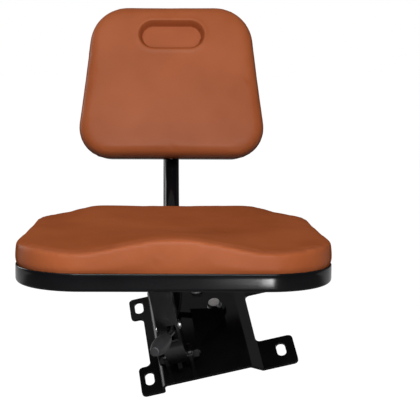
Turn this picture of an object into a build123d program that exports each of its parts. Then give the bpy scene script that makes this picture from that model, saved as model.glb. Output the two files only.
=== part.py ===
from build123d import *
from math import cos, exp, radians, sin
import os

# Tractor passenger seat, in millimetres. +X is the seat's width, +Y points to the rear and +Z up.
# The origin is on the back face of the bracket's left flange, midway between its two slots.

# Seat datum: plan centre of the seat at the level of the rim's top, measured from the origin
seat_x = 30.0
seat_y = -155.0
seat_z = 161.0

# Seat pan and cushion
seat_front_width = 411.0
seat_rear_width = 374.0
seat_depth = 340.0
seat_corner_radius = 86.0
rim_height = 23.0
rim_wall = 3.0
pan_floor = 4.0
pan_edge_radius = 5.0
cushion_inset = 1.5
cushion_front_height = 29.0
cushion_side_height = 32.5
cushion_edge_radius = 9.0
crest_height = 9.0
crest_half_width = 104.0
crest_fall = 65.0
crest_start_share = 0.35
crest_full_share = 0.95
pommel_height = 12.5
pommel_half_width = 76.0
pommel_share = 0.55
cushion_grid_rows = 22
cushion_grid_columns = 26
soft_clearance = 0.3

# Seat mount plate and its bolts
plate_width = 120.0
plate_depth = 150.0
plate_thickness = 5.0
plate_corner_radius = 10.0
plate_y = -25.0
plate_bolt_spacing_x = 96.0
plate_bolt_spacing_y = 126.0
plate_bolt_diameter = 8.0
plate_bolt_head = 13.0
plate_bolt_head_height = 5.5
head_crown_share = 0.48
head_base_share = 0.64

# Bracket: roll about +Y and lean about its own slot row, slots, flanges and raised web
bracket_roll = 13.0
bracket_lean = 32.0
bracket_sheet = 4.0
slot_spacing_across = 192.0
slot_spacing_up = 148.0
slot_width = 13.0
slot_length = 26.0
slot_line_from_origin = 10.0
web_height = 16.0
web_left = 10.0
web_right = 134.0
joggle_run = 16.0
tab_left_outer = 14.0
tab_right_outer = 20.0
tab_half_height = 24.0
strip_outer = -6.0
bracket_below = 30.0
bracket_above = 20.0
tab_corner_radius = 7.0
gusset_left = 67.0
gusset_right = 114.0
gusset_top = 14.0
gusset_shoulder = 0.0
gusset_bottom = -48.0
gusset_height = 20.0

# Arm hinge, in the rolled frame of the bracket
hinge_above_lower_slots = 2.0
hinge_out = 34.0
hinge_bolt_diameter = 10.0
hinge_running_gap = 0.05
hinge_bush_wall = 3.0
hinge_ear_radius = 15.0
hinge_ear_thickness = 5.0
hinge_side_gap = 0.5
hinge_bolt_head = 17.0
hinge_bolt_head_height = 6.5
hinge_nut_height = 8.0
hinge_washer_radius = 10.5
hinge_washer_thickness = 2.0

# Channel arm
arm_centre = 38.0
arm_width = 28.0
arm_sheet = 4.0
arm_front_y = -215.0
arm_depth = 76.0
arm_elbow_height = 58.0
arm_elbow_radius = 30.0
arm_hub_radius = 16.5
arm_web_stop = 34.0

# Release lever, its pin, grip and spring
lever_thickness = 6.0
lever_boss_radius = 9.0
lever_pin_diameter = 8.0
lever_running_gap = 0.05
lever_rod_diameter = 8.0
lever_rod_length = 78.0
lever_rod_yaw = 15.0
lever_rod_side = 5.0
lever_bend_radius = 20.0
lever_grip_cover = 10.0
lever_tail_root = 14.0
lever_tail_tip = 8.0
lever_slot_width = 12.0
lever_slot_height = 24.0
lever_slot_drop = 5.0
grip_length = 58.0
grip_diameter = 21.0
grip_end_diameter = 12.0
grip_neck_diameter = 14.0
grip_belly_share = 0.4
grip_end_radius = 1.5
pin_end = 2.0
pin_clip_radius = 6.5
pin_clip_thickness = 1.2
spring_wire = 1.4
spring_turns = 2.6
spring_pitch_share = 1.25
sector_radius = 22.0
sector_foot = 26.0
sector_thickness = 6.0
sector_notch_width = 7.0
sector_notch_depth = 6.0
latch_gap = 0.4
inner_gap = 0.5

# Backrest, placed by its lower edge in the middle of its front face
back_y = 285.0
back_z = 105.0
back_tilt = 20.0
back_height = 250.0
back_lower_width = 297.0
back_upper_width = 242.0
back_corner_radius = 50.0
back_pad_thickness = 30.0
back_pad_edge_radius = 13.0
back_pad_rear_radius = 4.0
back_shell_inset = 4.0
back_shell_depth = 22.0
back_shell_wall = 3.0
back_shell_edge_radius = 12.0
recess_width = 105.0
recess_height = 47.0
recess_below_top = 47.0
recess_depth = 9.0
recess_floor_inset = 5.0

# Back plate, tube and foot
back_plate_width = 90.0
back_plate_height = 110.0
back_plate_thickness = 4.0
back_plate_from_lower_edge = 30.0
back_screw_spacing_x = 70.0
back_screw_spacing_y = 88.0
back_screw_diameter = 6.0
back_screw_head = 11.0
back_screw_head_height = 3.5
tube_diameter = 25.0
tube_wall = 2.5
tube_bend_radius = 160.0
tube_foot_up = 52.0
tube_knee_up = -10.0
tube_top_below_plate = 12.0
weld_gap = 0.2
cap_lid = 4.0
cap_plug = 12.0
foot_thickness = 6.0
foot_ear_radius = 16.0
foot_tube_radius = 20.0
front_foot_bolt_across = 103.0
front_foot_bolt_up = 22.0
rear_foot_bolt_across = 82.0
rear_foot_bolt_up = 66.0
foot_bolt_diameter = 10.0
foot_bolt_head = 17.0
foot_bolt_head_height = 7.0
foot_washer_radius = 10.5
foot_washer_thickness = 2.0
foot_nut_height = 7.5

foot_bolt_places = [
    Pos(front_foot_bolt_across, front_foot_bolt_up),
    Pos(rear_foot_bolt_across, rear_foot_bolt_up),
]

# Shared frames
seat_frame = Location((seat_x, seat_y, seat_z))
roll = radians(bracket_roll)
lean = radians(bracket_lean)
across_axis = Vector(cos(roll), 0, sin(roll))
rolled_up = Vector(-sin(roll), 0, cos(roll))
rolled_frame = Plane(origin=(0, 0, 0), x_dir=across_axis, z_dir=rolled_up).location
mount_normal = Vector(0, -1, 0) * sin(lean) + rolled_up * cos(lean)
mount_frame = Plane(origin=(0, 0, 0), x_dir=across_axis, z_dir=mount_normal).location

# A field wider than the whole seat, for trimming everything on one side of a plane
field_factor = 4
wide_field = Rectangle(field_factor * seat_depth, field_factor * seat_depth)


def seat_outline(inset=0.0):
    # Rounded trapezoid of the seat in plan, wider at the front
    front = seat_front_width / 2
    rear = seat_rear_width / 2
    depth = seat_depth / 2
    corners = [(-front, -depth), (front, -depth), (rear, depth), (-rear, depth)]
    outline = make_face(Polyline(*corners, close=True))
    outline = fillet(outline.vertices(), seat_corner_radius)
    return offset(outline, -inset) if inset else outline


def group(frame, shapes):
    # Separate solids of one node, each put in its place
    return Compound(children=[frame * shape for shape in shapes])


def drill(part, places, tool, base=Location()):
    # Cut the same tool at each place
    for place in places:
        part -= base * place * tool
    return part


def ease(value):
    # Smooth step from 0 to 1
    value = min(max(value, 0.0), 1.0)
    return value * value * (3 - 2 * value)


def cushion_top(x, y):
    # Height of the cushion: low sides, a raised crest along the rear and a pommel in the middle of the front
    along = (y + seat_depth / 2) / seat_depth
    side = cushion_front_height + (cushion_side_height - cushion_front_height) * ease(along)
    rear_share = ease((along - crest_start_share) / (crest_full_share - crest_start_share))
    crest = crest_height * (1 - ease((abs(x) - crest_half_width) / crest_fall)) * rear_share
    pommel = pommel_height * exp(-(x / pommel_half_width) ** 2) * (1 - ease(along / pommel_share))
    return side + crest + pommel


def make_seat_cushion():
    # The crowned top is a surface over a grid, and the sides follow the seat's outline
    step_x = (seat_front_width + 2 * cushion_edge_radius) / cushion_grid_columns
    step_y = (seat_depth + 2 * cushion_edge_radius) / cushion_grid_rows
    grid = []
    for row in range(cushion_grid_rows + 1):
        y = (row - cushion_grid_rows / 2) * step_y
        xs = [(column - cushion_grid_columns / 2) * step_x for column in range(cushion_grid_columns + 1)]
        grid.append([Vector(x, y, cushion_top(x, y)) for x in xs])
    crown = Face.make_surface_from_array_of_points(grid)
    pocket_depth = rim_height - pan_floor
    tallest = cushion_side_height + crest_height + pommel_height
    block = extrude(crown, amount=tallest + pocket_depth, dir=(0, 0, -1))
    upper = block & extrude(seat_outline(cushion_inset), tallest)
    upper = fillet(upper.faces().sort_by(Axis.Z)[-1].edges(), cushion_edge_radius)
    plug = Pos(0, 0, -pocket_depth) * extrude(seat_outline(rim_wall + soft_clearance), pocket_depth)
    return seat_frame * (upper + plug)


def make_seat_pan():
    tray = Pos(0, 0, -rim_height) * extrude(seat_outline(), rim_height)
    tray = fillet(tray.faces().sort_by(Axis.Z)[0].edges(), pan_edge_radius)
    tray -= Pos(0, 0, pan_floor - rim_height) * extrude(seat_outline(rim_wall), rim_height)
    holes = GridLocations(plate_bolt_spacing_x, plate_bolt_spacing_y, 2, 2)
    hole = Cylinder(plate_bolt_diameter / 2 + inner_gap / 2, 3 * pan_floor)
    return seat_frame * drill(tray, holes, hole, Pos(0, plate_y, -rim_height))


def make_seat_mount_plate():
    blank = RectangleRounded(plate_width, plate_depth, plate_corner_radius)
    plate = extrude(blank, -plate_thickness)
    holes = GridLocations(plate_bolt_spacing_x, plate_bolt_spacing_y, 2, 2)
    hole = Cylinder(plate_bolt_diameter / 2 + inner_gap / 2, 3 * plate_thickness)
    return seat_frame * Pos(0, plate_y, -rim_height) * drill(plate, holes, hole)


def hex_bolt(diameter, across_flats, head_height, shank):
    # Hex bolt along +Z: the head lies below zero and the shank above
    head = extrude(RegularPolygon(across_flats / 2, 6, major_radius=False), -head_height)
    crown = Pos(0, 0, -head_height) * Cone(
        across_flats * head_crown_share,
        across_flats * head_base_share,
        head_height,
        align=(Align.CENTER, Align.CENTER, Align.MIN),
    )
    return head & crown if shank <= 0 else (head & crown) + extrude(Circle(diameter / 2), shank)


def make_seat_plate_bolts():
    shank = plate_thickness + pan_floor
    bolt = hex_bolt(plate_bolt_diameter, plate_bolt_head, plate_bolt_head_height, shank)
    places = GridLocations(plate_bolt_spacing_x, plate_bolt_spacing_y, 2, 2)
    bolts = [place * bolt for place in places]
    return group(seat_frame * Pos(0, plate_y, -rim_height - plate_thickness), bolts)


# Hinge axis in the rolled frame: Y to the rear, Z up, the axis itself along X
hinge_up = hinge_above_lower_slots - slot_spacing_up / 2
hinge_y = hinge_up * cos(lean) - hinge_out * sin(lean)
hinge_z = hinge_up * sin(lean) + hinge_out * cos(lean)
elbow_y = arm_front_y + arm_elbow_radius
elbow_z = arm_elbow_height
arm_left = arm_centre - arm_width / 2
bush_radius = hinge_bolt_diameter / 2 + hinge_running_gap + hinge_bush_wall


def side_solid(sketch, low, high):
    # A profile drawn in the hinge's Y and Z, extruded across from low to high
    return extrude(Plane.YZ.offset(low) * sketch, high - low)


def disc_at(y, z, radius):
    return Pos(y, z) * Circle(radius)


def beam_between(y1, z1, r1, y2, z2, r2):
    # Two discs and the band between their outer tangents
    rims = disc_at(y1, z1, r1).edges() + disc_at(y2, z2, r2).edges()
    return make_hull(rims)


def arm_profile(inset=0.0):
    beam = beam_between(elbow_y, elbow_z, arm_elbow_radius - inset, hinge_y, hinge_z, arm_hub_radius - inset)
    post = Pos(arm_front_y + arm_depth / 2, elbow_z + seat_z / 2) * Rectangle(arm_depth - 2 * inset, seat_z)
    return beam + post


def make_seat_arm():
    body = side_solid(arm_profile(), arm_left, arm_left + arm_width)
    inside = arm_profile(arm_sheet)
    open_rear = Pos(arm_sheet * 3, arm_sheet) * inside
    hub_relief = disc_at(hinge_y, hinge_z, arm_web_stop)
    hollow = inside + open_rear + hub_relief
    body -= side_solid(hollow, arm_left + arm_sheet, arm_left + arm_width - arm_sheet)
    bores = disc_at(hinge_y, hinge_z, bush_radius + hinge_running_gap)
    bores += disc_at(elbow_y, elbow_z, lever_pin_diameter / 2)
    body -= side_solid(bores, arm_left - arm_sheet, arm_left + arm_width + arm_sheet)
    slot = Box(lever_slot_width, 4 * arm_sheet, lever_slot_height)
    slot = Pos(arm_centre + lever_rod_side, arm_front_y, elbow_z - lever_slot_drop) * slot
    body -= slot
    body = rolled_frame * body
    return body - seat_frame * Pos(0, 0, -rim_height - plate_thickness) * extrude(wide_field, seat_depth)


def across_cylinder(y, z, radius, low, high):
    return side_solid(disc_at(y, z, radius), low, high)


def make_arm_bush():
    outer = across_cylinder(hinge_y, hinge_z, bush_radius, arm_left, arm_left + arm_width)
    bore = hinge_bolt_diameter / 2 + hinge_running_gap
    return rolled_frame * (outer - across_cylinder(hinge_y, hinge_z, bore, arm_left, arm_left + arm_width))


ear_left = arm_left - hinge_side_gap
ear_right = arm_left + arm_width + hinge_side_gap
hinge_grip_left = ear_left - hinge_ear_thickness
hinge_grip_right = ear_right + hinge_ear_thickness


def ear_profile(radius, foot):
    # Rounded ear that stands on the web's front face below the hinge axis
    rise = hinge_out - web_height
    ear = Circle(radius) + Pos(0, -rise / 2) * Rectangle(foot, rise)
    return Pos(hinge_y, hinge_z) * Rot(0, 0, bracket_lean) * ear


def make_hinge_ears():
    profile = ear_profile(hinge_ear_radius, 2 * hinge_ear_radius)
    below = Pos(0, 0, web_height) * extrude(wide_field, -seat_depth)
    ears = []
    for low in (hinge_grip_left, ear_right):
        ear = side_solid(profile, low, low + hinge_ear_thickness)
        ear -= across_cylinder(hinge_y, hinge_z, hinge_bolt_diameter / 2, low, low + hinge_ear_thickness)
        ears.append(rolled_frame * ear - mount_frame * below)
    return Compound(children=ears)


def make_latch_sector():
    profile = ear_profile(sector_radius, sector_foot)
    low = arm_centre - sector_thickness / 2
    sector = side_solid(profile, low, low + sector_thickness)
    sector -= across_cylinder(hinge_y, hinge_z, bush_radius + inner_gap, low, low + sector_thickness)
    notch_angle = beam_angle()
    notch = Pos(sector_radius, 0) * Rectangle(2 * sector_notch_depth, sector_notch_width)
    notch = Pos(hinge_y, hinge_z) * Rot(0, 0, notch_angle) * notch
    sector -= side_solid(notch, low, low + sector_thickness)
    below = Pos(0, 0, web_height) * extrude(wide_field, -seat_depth)
    return rolled_frame * sector - mount_frame * below


def beam_angle():
    # Direction from the hinge to the elbow, in degrees from the rear
    return Vector(1, 0, 0).get_signed_angle(Vector(elbow_y - hinge_y, elbow_z - hinge_z, 0), Vector(0, 0, 1))


def make_arm_pivot_bolt():
    low = hinge_grip_left - hinge_washer_thickness
    high = hinge_grip_right + hinge_washer_thickness + hinge_nut_height + pin_end
    bolt = hex_bolt(hinge_bolt_diameter, hinge_bolt_head, hinge_bolt_head_height, high - low)
    place = Location((low, hinge_y, hinge_z), (0, 90, 0))
    return rolled_frame * place * bolt


def make_arm_pivot_washers():
    washers = []
    for low in (hinge_grip_left - hinge_washer_thickness, hinge_grip_right):
        high = low + hinge_washer_thickness
        ring = across_cylinder(hinge_y, hinge_z, hinge_washer_radius, low, high)
        washers.append(ring - across_cylinder(hinge_y, hinge_z, hinge_bolt_diameter / 2, low, high))
    return group(rolled_frame, washers)


def hex_nut(diameter, across_flats, height):
    nut = extrude(RegularPolygon(across_flats / 2, 6, major_radius=False), height)
    return nut - extrude(Circle(diameter / 2), height)


def make_arm_pivot_nut():
    nut = hex_nut(hinge_bolt_diameter, hinge_bolt_head, hinge_nut_height)
    place = Location((hinge_grip_right + hinge_washer_thickness, hinge_y, hinge_z), (0, 90, 0))
    return rolled_frame * place * nut


# Slot rows and edges in the bracket's own plane, across and up
slot_left = -slot_line_from_origin
slot_right = slot_left + slot_spacing_across
bracket_low = -slot_spacing_up / 2 - bracket_below
bracket_high = slot_spacing_up / 2 + bracket_above


def band(low, high, bottom, top):
    return Pos((low + high) / 2, (bottom + top) / 2) * Rectangle(high - low, top - bottom)


def gusset():
    # Three-cornered wedge: full height along its upper edge, down to nothing at its lower corner
    left = (gusset_left, gusset_top)
    right = (gusset_right, gusset_shoulder)
    tip = (gusset_left, gusset_bottom)
    block = extrude(make_face(Polyline(left, tip, right, close=True)), gusset_height)
    upper_edge = Vector(gusset_right - gusset_left, gusset_shoulder - gusset_top, 0)
    fall = Vector(0, gusset_bottom - gusset_top, -gusset_height)
    slope = Plane(origin=(*left, gusset_height), x_dir=upper_edge, z_dir=fall.cross(upper_edge))
    return block - slope.location * extrude(wide_field, gusset_height + seat_depth)


def make_mount_bracket():
    # Hat section in the across direction, extruded up the bracket, then trimmed to its outline
    section = [
        (slot_left - tab_left_outer, 0),
        (web_left, 0),
        (web_left, web_height - bracket_sheet),
        (web_right, web_height - bracket_sheet),
        (web_right + joggle_run, 0),
        (slot_right + tab_right_outer, 0),
    ]
    line = FilletPolyline(*section, radius=bracket_sheet)
    front = offset(line, bracket_sheet, side=Side.LEFT, closed=True)
    sheet = make_face(front)
    hat = extrude(Plane.XZ * sheet, (bracket_high - bracket_low))
    hat = Pos(0, bracket_high, 0) * hat
    keep = band(strip_outer, web_right + joggle_run, bracket_low, bracket_high)
    tab_inner = slot_spacing_up / 2 - tab_half_height
    for bottom, top in ((bracket_low, -tab_inner), (tab_inner, bracket_high)):
        keep += band(slot_left - tab_left_outer, slot_right + tab_right_outer, bottom, top)
    outline = extrude(keep, 2 * web_height)
    upright = outline.edges().filter_by(Axis.Z)
    outline = fillet(upright, tab_corner_radius)
    bracket = hat & Pos(0, 0, -bracket_sheet) * outline
    slots = GridLocations(slot_spacing_across, slot_spacing_up, 2, 2)
    centre = Pos((slot_left + slot_right) / 2, 0, 0)
    slot = extrude(SlotOverall(slot_length, slot_width, rotation=90), 4 * bracket_sheet, both=True)
    bracket = drill(bracket, slots, slot, centre)
    hole = Cylinder(foot_bolt_diameter / 2 + inner_gap / 2, 3 * bracket_sheet)
    bracket = drill(bracket, foot_bolt_places, hole, Pos(0, 0, web_height))
    bracket += Pos(0, 0, web_height) * gusset()
    return mount_frame * bracket


# The tube stands in the seat's middle plane, and its foot lies on the web's front face
foot_face = web_height + foot_thickness
tube_foot_across = (seat_x + sin(roll) * (tube_foot_up * sin(lean) + foot_face * cos(lean))) / cos(roll)
tube_foot_local = Location((tube_foot_across, tube_foot_up, foot_face))
tube_foot_point = (mount_frame * tube_foot_local).position
back_frame = Plane(
    origin=(seat_x, seat_y + back_y, seat_z + back_z),
    x_dir=(1, 0, 0),
    z_dir=(0, -cos(radians(back_tilt)), sin(radians(back_tilt))),
).location
back_rear = -back_pad_thickness - back_shell_depth
plate_rear = back_rear - back_plate_thickness
tube_axis = plate_rear - tube_diameter / 2 - weld_gap
plate_middle = back_plate_from_lower_edge + back_plate_height / 2
tube_top = back_plate_from_lower_edge + back_plate_height - tube_top_below_plate


def back_point(up, out):
    return (back_frame * Location((0, up, out))).position


def make_backrest_tube():
    # Straight from the foot, one bend, then straight up the back plate
    knee = back_point(tube_knee_up, tube_axis)
    top = back_point(tube_top, tube_axis)
    start = tube_foot_point + (tube_foot_point - knee).normalized() * tube_diameter
    path = FilletPolyline(start, knee, top, radius=tube_bend_radius)
    ring = Circle(tube_diameter / 2) - Circle(tube_diameter / 2 - tube_wall)
    tube = sweep(Plane(origin=start, z_dir=knee - start) * ring, path)
    return tube - mount_frame * Pos(0, 0, foot_face) * extrude(wide_field, -seat_depth)


def make_tube_end_cap():
    # Push-in plug with a domed lid over the tube's upper end
    lid = Pos(0, 0, cap_lid / 2) * Cylinder(tube_diameter / 2, cap_lid)
    lid = fillet(lid.edges().sort_by(Axis.Z)[-1], cap_lid / 2)
    plug = Pos(0, 0, -cap_plug / 2) * Cylinder(tube_diameter / 2 - tube_wall - soft_clearance / 2, cap_plug)
    place = Plane(origin=back_point(tube_top, tube_axis), z_dir=back_point(1, 0) - back_point(0, 0)).location
    return place * (lid + plug)


def make_tube_foot():
    # Rounded three-cornered plate: tube at one corner, a bolt at each of the others
    rims = (Pos(tube_foot_across, tube_foot_up) * Circle(foot_tube_radius)).edges()
    for place in foot_bolt_places:
        rims += (place * Circle(foot_ear_radius)).edges()
    foot = Pos(0, 0, web_height) * extrude(make_hull(rims), foot_thickness)
    hole = Cylinder(foot_bolt_diameter / 2, 4 * foot_thickness)
    return mount_frame * drill(foot, foot_bolt_places, hole, Pos(0, 0, foot_face))


def at_foot_bolts(shape):
    return group(mount_frame, [place * shape for place in foot_bolt_places])


def make_foot_bolts():
    washer_face = foot_face + foot_washer_thickness
    shank = washer_face - web_height + bracket_sheet + foot_nut_height
    bolt = hex_bolt(foot_bolt_diameter - inner_gap / 5, foot_bolt_head, foot_bolt_head_height, shank)
    return at_foot_bolts(Pos(0, 0, washer_face) * Rot(180, 0, 0) * bolt)


def make_foot_washers():
    ring = Circle(foot_washer_radius) - Circle(foot_bolt_diameter / 2)
    return at_foot_bolts(Pos(0, 0, foot_face) * extrude(ring, foot_washer_thickness))


def make_foot_nuts():
    nut = hex_nut(foot_bolt_diameter, foot_bolt_head, foot_nut_height)
    return at_foot_bolts(Pos(0, 0, web_height - bracket_sheet - foot_nut_height) * nut)


def back_outline(inset=0.0):
    # Rounded trapezoid of the backrest, wider at its lower edge
    lower = back_lower_width / 2
    upper = back_upper_width / 2
    corners = [(-lower, 0), (lower, 0), (upper, back_height), (-upper, back_height)]
    outline = make_face(Polyline(*corners, close=True))
    outline = fillet(outline.vertices(), back_corner_radius)
    return offset(outline, -inset) if inset else outline


def make_backrest_cushion():
    pad = extrude(back_outline(), -back_pad_thickness)
    pad = fillet(pad.faces().sort_by(Axis.Z)[-1].edges(), back_pad_edge_radius)
    pad = fillet(pad.faces().sort_by(Axis.Z)[0].edges(), back_pad_rear_radius)
    mouth = Pos(0, back_height - recess_below_top, 0) * SlotOverall(recess_width, recess_height)
    floor_width = recess_width - 2 * recess_floor_inset
    floor_height = recess_height - 2 * recess_floor_inset
    floor = Pos(0, back_height - recess_below_top, -recess_depth) * SlotOverall(floor_width, floor_height)
    pad -= loft([mouth, floor])
    plug_inset = back_shell_inset + back_shell_wall + soft_clearance
    plug_depth = back_shell_depth - back_shell_wall
    plug = extrude(back_outline(plug_inset), -plug_depth)
    plug = fillet(plug.faces().sort_by(Axis.Z)[0].edges(), back_shell_edge_radius - back_shell_wall)
    return back_frame * (pad + Pos(0, 0, -back_pad_thickness) * plug)


def make_backrest_shell():
    tray = Pos(0, 0, -back_pad_thickness) * extrude(back_outline(back_shell_inset), -back_shell_depth)
    tray = fillet(tray.faces().sort_by(Axis.Z)[0].edges(), back_shell_edge_radius)
    pocket = extrude(back_outline(back_shell_inset + back_shell_wall), back_shell_wall - back_shell_depth)
    pocket = fillet(pocket.faces().sort_by(Axis.Z)[0].edges(), back_shell_edge_radius - back_shell_wall)
    tray -= Pos(0, 0, -back_pad_thickness) * pocket
    holes = GridLocations(back_screw_spacing_x, back_screw_spacing_y, 2, 2)
    hole = Cylinder(back_screw_diameter / 2 + inner_gap / 2, 3 * back_shell_wall)
    return back_frame * drill(tray, holes, hole, Pos(0, plate_middle, back_rear))


def make_backrest_plate():
    blank = RectangleRounded(back_plate_width, back_plate_height, plate_corner_radius)
    plate = Pos(0, plate_middle, back_rear) * extrude(blank, -back_plate_thickness)
    holes = GridLocations(back_screw_spacing_x, back_screw_spacing_y, 2, 2)
    hole = Cylinder(back_screw_diameter / 2 + inner_gap / 2, 3 * back_plate_thickness)
    return back_frame * drill(plate, holes, hole, Pos(0, plate_middle, back_rear))


def make_backrest_screws():
    # Pan head screws from the rear through plate and shell
    head = Pos(0, 0, -back_screw_head_height / 2) * Cylinder(back_screw_head / 2, back_screw_head_height)
    head = fillet(head.edges().sort_by(Axis.Z)[0], back_screw_head_height / 2)
    socket = extrude(RegularPolygon(back_screw_diameter / 3, 6), -back_screw_head_height)
    head -= Pos(0, 0, -back_screw_head_height / 2) * socket
    screw = head + extrude(Circle(back_screw_diameter / 2), back_plate_thickness + back_shell_wall)
    places = GridLocations(back_screw_spacing_x, back_screw_spacing_y, 2, 2)
    screws = [place * screw for place in places]
    return group(back_frame * Pos(0, plate_middle, plate_rear), screws)


def make_release_lever():
    # Flat pawl on the lever pin, its nose just clear of the sector, and a bent rod to the grip
    angle = radians(beam_angle())
    nose = sector_radius + latch_gap + lever_tail_tip / 2
    nose_y = hinge_y + nose * cos(angle)
    nose_z = hinge_z + nose * sin(angle)
    pawl = beam_between(elbow_y, elbow_z, lever_boss_radius, nose_y, nose_z, lever_tail_tip / 2)
    low = arm_centre - lever_thickness / 2
    lever = side_solid(pawl, low, low + lever_thickness)
    side = arm_centre + lever_rod_side
    bend_y = arm_front_y - lever_rod_diameter
    tip_x = side - lever_rod_length * sin(radians(lever_rod_yaw))
    tip_y = bend_y - lever_rod_length * cos(radians(lever_rod_yaw))
    root = (side, elbow_y, elbow_z)
    path = FilletPolyline(root, (side, bend_y, elbow_z), (tip_x, tip_y, elbow_z), radius=lever_bend_radius)
    lever += sweep(Plane(origin=root, z_dir=(0, -1, 0)) * Circle(lever_rod_diameter / 2), path)
    bore = lever_pin_diameter / 2 + lever_running_gap
    lever -= across_cylinder(elbow_y, elbow_z, bore, arm_left, arm_left + arm_width)
    return rolled_frame * lever


def grip_place():
    side = arm_centre + lever_rod_side
    tip = lever_rod_length + lever_grip_cover - grip_length
    yaw = radians(lever_rod_yaw)
    bend_y = arm_front_y - lever_rod_diameter
    origin = (side - tip * sin(yaw), bend_y - tip * cos(yaw), elbow_z)
    return Plane(origin=origin, x_dir=(0, 0, 1), z_dir=(-sin(yaw), -cos(yaw), 0)).location


def make_lever_grip():
    # Turned handle: slim neck, full belly, flat end
    neck = (grip_neck_diameter / 2, 0)
    belly = (grip_diameter / 2, grip_length * grip_belly_share)
    tip = (grip_end_diameter / 2, grip_length)
    side = Spline(neck, belly, tip)
    profile = make_face(side + Polyline(tip, (0, grip_length), (0, 0), neck))
    grip = revolve(Plane.XZ * profile, Axis.Z)
    grip = fillet(grip.edges().sort_by(Axis.Z)[-1], grip_end_radius)
    bore_depth = grip_length - lever_grip_cover
    grip -= extrude(Circle(lever_rod_diameter / 2), bore_depth)
    return rolled_frame * grip_place() * grip


def make_lever_pin():
    reach = pin_clip_thickness + pin_end
    low = arm_left - reach
    high = arm_left + arm_width + reach
    return rolled_frame * across_cylinder(elbow_y, elbow_z, lever_pin_diameter / 2, low, high)


def make_lever_pin_clips():
    clips = []
    for low in (arm_left - pin_clip_thickness, arm_left + arm_width):
        high = low + pin_clip_thickness
        clip = across_cylinder(elbow_y, elbow_z, pin_clip_radius, low, high)
        clip -= across_cylinder(elbow_y, elbow_z, lever_pin_diameter / 2, low, high)
        clips.append(clip)
    return group(rolled_frame, clips)


def make_lever_return_spring():
    # Coil round the lever pin, between the pawl and the arm's left wall
    radius = lever_pin_diameter / 2 + spring_wire / 2 + inner_gap
    pitch = spring_wire * spring_pitch_share
    coil = Helix(pitch=pitch, height=pitch * spring_turns, radius=radius)
    wire = Plane(origin=coil @ 0, z_dir=coil % 0) * Circle(spring_wire / 2)
    spring = sweep(wire, coil, is_frenet=True)
    low = arm_left + arm_sheet + spring_wire / 2 + soft_clearance
    place = Location((low, elbow_y, elbow_z), (0, 90, 0))
    return rolled_frame * place * spring


nodes = {
    "seat_cushion": make_seat_cushion,
    "seat_pan": make_seat_pan,
    "seat_mount_plate": make_seat_mount_plate,
    "seat_plate_bolts": make_seat_plate_bolts,
    "seat_arm": make_seat_arm,
    "arm_bush": make_arm_bush,
    "hinge_ears": make_hinge_ears,
    "latch_sector": make_latch_sector,
    "arm_pivot_bolt": make_arm_pivot_bolt,
    "arm_pivot_washers": make_arm_pivot_washers,
    "arm_pivot_nut": make_arm_pivot_nut,
    "mount_bracket": make_mount_bracket,
    "backrest_tube": make_backrest_tube,
    "tube_end_cap": make_tube_end_cap,
    "tube_foot": make_tube_foot,
    "foot_bolts": make_foot_bolts,
    "foot_washers": make_foot_washers,
    "foot_nuts": make_foot_nuts,
    "backrest_cushion": make_backrest_cushion,
    "backrest_shell": make_backrest_shell,
    "backrest_plate": make_backrest_plate,
    "backrest_screws": make_backrest_screws,
    "release_lever": make_release_lever,
    "lever_grip": make_lever_grip,
    "lever_pin": make_lever_pin,
    "lever_pin_clips": make_lever_pin_clips,
    "lever_return_spring": make_lever_return_spring,
}
os.makedirs("parts", exist_ok=True)
for name, make in nodes.items():
    export_step(make(), os.path.join("parts", name + ".step"))
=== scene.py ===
import math
import bmesh
import bpy
import numpy as np
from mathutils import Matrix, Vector


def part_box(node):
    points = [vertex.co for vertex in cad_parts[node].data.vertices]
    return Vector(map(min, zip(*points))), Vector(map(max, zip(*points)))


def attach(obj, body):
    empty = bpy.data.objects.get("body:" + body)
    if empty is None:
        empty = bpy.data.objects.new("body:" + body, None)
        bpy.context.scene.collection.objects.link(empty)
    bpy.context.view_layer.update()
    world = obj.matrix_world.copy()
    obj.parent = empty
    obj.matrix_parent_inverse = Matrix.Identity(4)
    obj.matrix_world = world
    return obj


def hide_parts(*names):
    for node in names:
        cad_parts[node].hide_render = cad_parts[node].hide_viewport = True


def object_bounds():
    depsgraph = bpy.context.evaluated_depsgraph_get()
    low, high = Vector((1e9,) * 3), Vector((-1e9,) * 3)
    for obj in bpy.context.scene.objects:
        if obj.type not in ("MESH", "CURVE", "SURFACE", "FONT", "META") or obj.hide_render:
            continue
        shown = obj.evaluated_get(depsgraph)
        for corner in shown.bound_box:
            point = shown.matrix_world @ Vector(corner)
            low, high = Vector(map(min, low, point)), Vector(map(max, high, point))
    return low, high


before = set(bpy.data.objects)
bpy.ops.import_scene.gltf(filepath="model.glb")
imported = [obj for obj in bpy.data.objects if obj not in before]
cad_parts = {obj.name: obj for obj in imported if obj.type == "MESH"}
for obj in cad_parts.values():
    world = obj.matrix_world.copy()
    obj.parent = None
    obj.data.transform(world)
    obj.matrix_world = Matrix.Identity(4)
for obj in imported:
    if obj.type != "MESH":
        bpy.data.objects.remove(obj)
cadLow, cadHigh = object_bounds()
print("frame loaded:", len(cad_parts), "nodes")

mm = 0.001  # the sizes below are millimetres, the meshes are metres
weldDistance = 1e-6  # points of one mesh closer than this are one point


# Frames shared with the solids: the seat's datum, the rolled hinge frame and the leaning backrest
panLow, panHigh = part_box("seat_pan")
seatDatum = np.array([(panLow.x + panHigh.x) / 2, (panLow.y + panHigh.y) / 2, panHigh.z]) / mm
bracketRoll = math.radians(13.0)
backTilt = math.radians(20.0)
backOrigin = seatDatum + np.array([0.0, 285.0, 105.0])
backUp = np.array([0.0, math.sin(backTilt), math.cos(backTilt)])
backOut = np.array([0.0, -math.cos(backTilt), math.sin(backTilt)])


def fromSeat(points):
    # seat coordinates: across, rearward, up from the rim's top
    return (np.asarray(points, float) + seatDatum) * mm


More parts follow.
